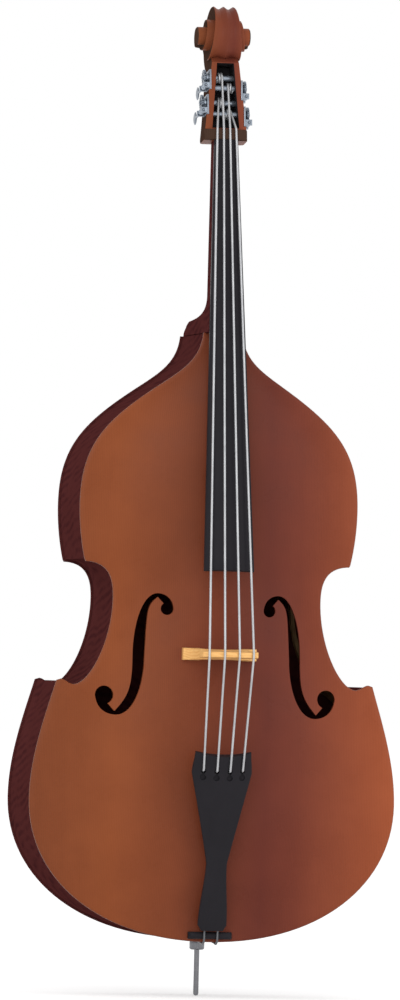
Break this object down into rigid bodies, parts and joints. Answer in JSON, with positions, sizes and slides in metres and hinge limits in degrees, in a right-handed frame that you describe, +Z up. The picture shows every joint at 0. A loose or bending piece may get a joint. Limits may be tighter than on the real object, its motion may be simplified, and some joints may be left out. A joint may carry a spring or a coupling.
{
  "type": "double bass",
  "caption": "Large upright bowed string instrument: arched hollow body with f-holes, long neck, scroll head with geared tuning machines, tall bridge, tailpiece and sliding endpin.",
  "frame": {"origin": "flat tip of the endpin, on the floor", "axes": "+Z up along the endpin and the body's centre line, -Y to the player's audience (the front with the strings), +X to the right seen from the front"},
  "size_m": [0.67, 0.4074, 1.7907],
  "materials": {
    "spruce_varnish": "glossy varnish over spruce, darker down the middle right",
    "rib_varnish": "glossy dark red-brown varnish over maple",
    "head_varnish": "glossy red-brown varnish",
    "chin_wood": "satin dark brown",
    "bare_spruce": "bare planed wood",
    "ebony": "satin black",
    "bridge_maple": "satin pale maple",
    "string_wire": "flat-wound wire",
    "tuner_steel": "satin nickel",
    "endpin_steel": "satin steel",
    "tail_cable": "twisted steel cable"
  },
  "bodies": {
    "body": {"top_plate": "spruce_varnish", "back_plate": "rib_varnish", "rib_upper_left": "rib_varnish", "rib_upper_right": "rib_varnish", "rib_waist_left": "rib_varnish", "rib_waist_right": "rib_varnish", "rib_lower_left": "rib_varnish", "rib_lower_right": "rib_varnish", "corner_block_upper_left": "bare_spruce", "corner_block_upper_right": "bare_spruce", "corner_block_lower_left": "bare_spruce", "corner_block_lower_right": "bare_spruce", "neck_block": "bare_spruce", "end_block": "bare_spruce", "lining_front": "bare_spruce", "lining_back": "bare_spruce", "bass_bar": "bare_spruce", "sound_post": "bare_spruce", "neck": "rib_varnish", "head": "head_varnish", "fingerboard": "ebony", "nut": "chin_wood", "bridge": "bridge_maple", "tailpiece": "ebony", "tail_wire": "tail_cable", "saddle": "ebony", "endpin_collar": "endpin_steel", "tuner_base_e": "tuner_steel", "tuner_base_a": "tuner_steel", "tuner_base_d": "tuner_steel", "tuner_base_g": "tuner_steel", "string_e": "string_wire", "string_a": "string_wire", "string_d": "string_wire", "string_g": "string_wire"},
    "roller_e": {"tuner_roller_e": "tuner_steel", "tuner_gear_e": "tuner_steel", "tuner_screw_e": "tuner_steel", "string_winding_e": "string_wire"},
    "worm_e": {"tuner_worm_e": "tuner_steel"},
    "roller_a": {"tuner_roller_a": "tuner_steel", "tuner_gear_a": "tuner_steel", "tuner_screw_a": "tuner_steel", "string_winding_a": "string_wire"},
    "worm_a": {"tuner_worm_a": "tuner_steel"},
    "roller_d": {"tuner_roller_d": "tuner_steel", "tuner_gear_d": "tuner_steel", "tuner_screw_d": "tuner_steel", "string_winding_d": "string_wire"},
    "worm_d": {"tuner_worm_d": "tuner_steel"},
    "roller_g": {"tuner_roller_g": "tuner_steel", "tuner_gear_g": "tuner_steel", "tuner_screw_g": "tuner_steel", "string_winding_g": "string_wire"},
    "worm_g": {"tuner_worm_g": "tuner_steel"},
    "endpin": {"endpin_rod": "endpin_steel"},
    "thumbscrew": {"endpin_thumbscrew": "endpin_steel"}
  },
  "joints": [
    {"name": "roller_turn_e", "type": "hinge", "parent": "body", "child": "roller_e", "pos_m": [0, -0.06655, 1.61416], "axis": [1, 0, 0], "range_deg": [-20, 20]},
    {"name": "worm_turn_e", "type": "hinge", "parent": "body", "child": "worm_e", "pos_m": [-0.0409, -0.06914, 1.59746], "axis": [0, 0.9882, -0.153], "range_deg": [-400, 400]},
    {"name": "roller_turn_a", "type": "hinge", "parent": "body", "child": "roller_a", "pos_m": [0, -0.05947, 1.65992], "axis": [1, 0, 0], "range_deg": [-20, 20]},
    {"name": "worm_turn_a", "type": "hinge", "parent": "body", "child": "worm_a", "pos_m": [-0.03604, -0.06205, 1.64322], "axis": [0, 0.9882, -0.153], "range_deg": [-400, 400]},
    {"name": "roller_turn_d", "type": "hinge", "parent": "body", "child": "roller_d", "pos_m": [0, -0.06235, 1.64134], "axis": [1, 0, 0], "range_deg": [-20, 20]},
    {"name": "worm_turn_d", "type": "hinge", "parent": "body", "child": "worm_d", "pos_m": [0.03802, -0.06493, 1.62464], "axis": [0, 0.9882, -0.153], "range_deg": [-400, 400]},
    {"name": "roller_turn_g", "type": "hinge", "parent": "body", "child": "roller_g", "pos_m": [0, -0.06969, 1.5939], "axis": [1, 0, 0], "range_deg": [-20, 20]},
    {"name": "worm_turn_g", "type": "hinge", "parent": "body", "child": "worm_g", "pos_m": [0.04306, -0.07228, 1.5772], "axis": [0, 0.9882, -0.153], "range_deg": [-400, 400]},
    {"name": "endpin_slide", "type": "slide", "parent": "body", "child": "endpin", "axis": [0, 0, -1], "range_m": [-0.078, 0.15]},
    {"name": "thumbscrew_turn", "type": "hinge", "parent": "body", "child": "thumbscrew", "pos_m": [0, 0, 0.09275], "axis": [0, 1, 0], "range_deg": [0, 180]}
  ],
  "couplings": [
    {"joint": "worm_turn_e", "follows": "roller_turn_e", "ratio": -20},
    {"joint": "worm_turn_a", "follows": "roller_turn_a", "ratio": -20},
    {"joint": "worm_turn_d", "follows": "roller_turn_d", "ratio": 20},
    {"joint": "worm_turn_g", "follows": "roller_turn_g", "ratio": 20}
  ]
}
